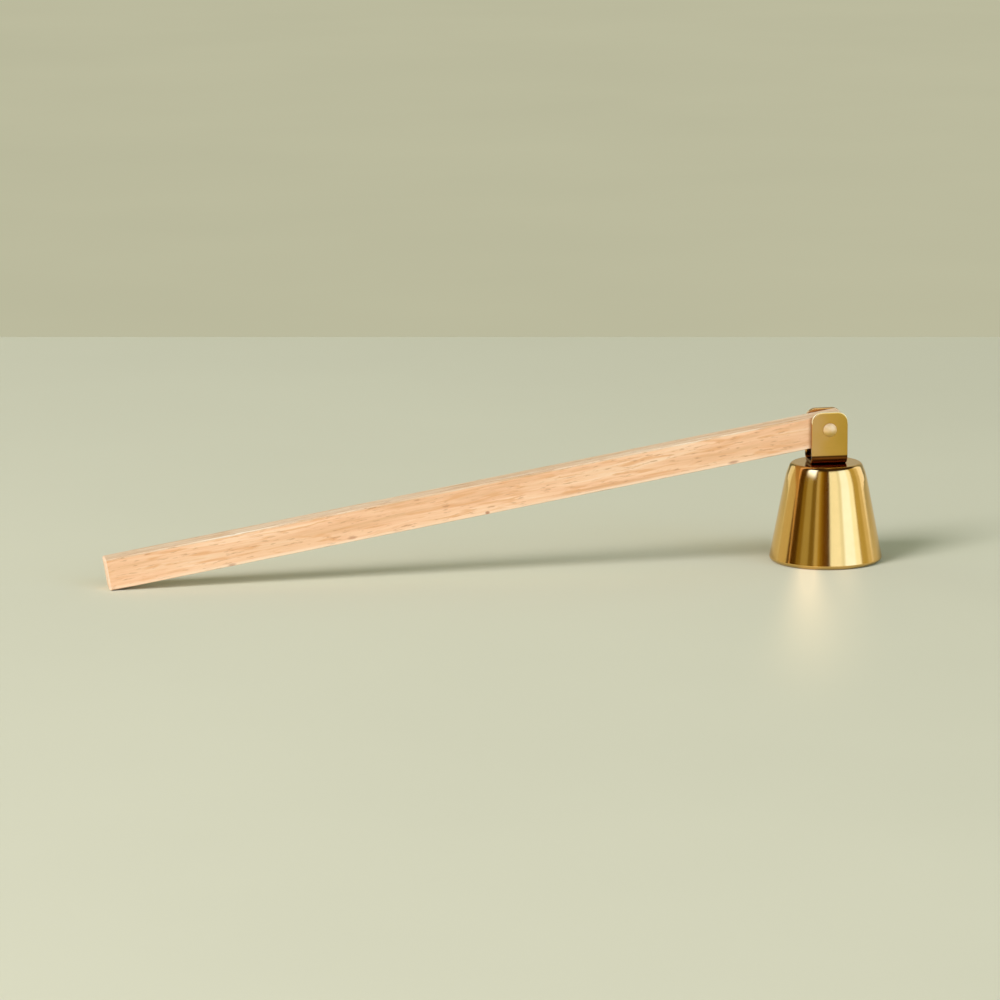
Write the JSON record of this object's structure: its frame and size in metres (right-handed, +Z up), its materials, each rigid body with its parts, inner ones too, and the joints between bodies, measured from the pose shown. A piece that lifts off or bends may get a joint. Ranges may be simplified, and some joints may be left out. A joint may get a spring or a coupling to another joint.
{
  "type": "candle snuffer",
  "caption": "Candle snuffer with a brass bell that swings in a riveted strap bracket on the end of a long rectangular wooden handle.",
  "frame": {"origin": "on the surface that the snuffer rests on, below the middle of its outer box", "axes": "+Z up; +X along the handle towards the bell; +Y across the handle, along the pivot rivet, away from the rivet's domed head"},
  "size_m": [0.2638, 0.038, 0.0514],
  "materials": {
    "wood": "fine sanded and lightly oiled, open straight grain",
    "polished_brass": "polished",
    "rivet_brass": "polished",
    "plated_steel": "plated, satin"
  },
  "bodies": {
    "bell_head": {"bell": "polished_brass", "bracket": "polished_brass", "pivot_rivet": "rivet_brass", "bell_screw": "plated_steel", "bell_washer": "plated_steel", "bracket_nut": "plated_steel"},
    "handle": {"handle": "wood"}
  },
  "joints": [
    {"name": "bell_pivot", "type": "hinge", "parent": "bell_head", "child": "handle", "pos_m": [0.11289, 0, 0.0453], "axis": [0, 1, 0], "range_deg": [-17, 215.7]}
  ]
}
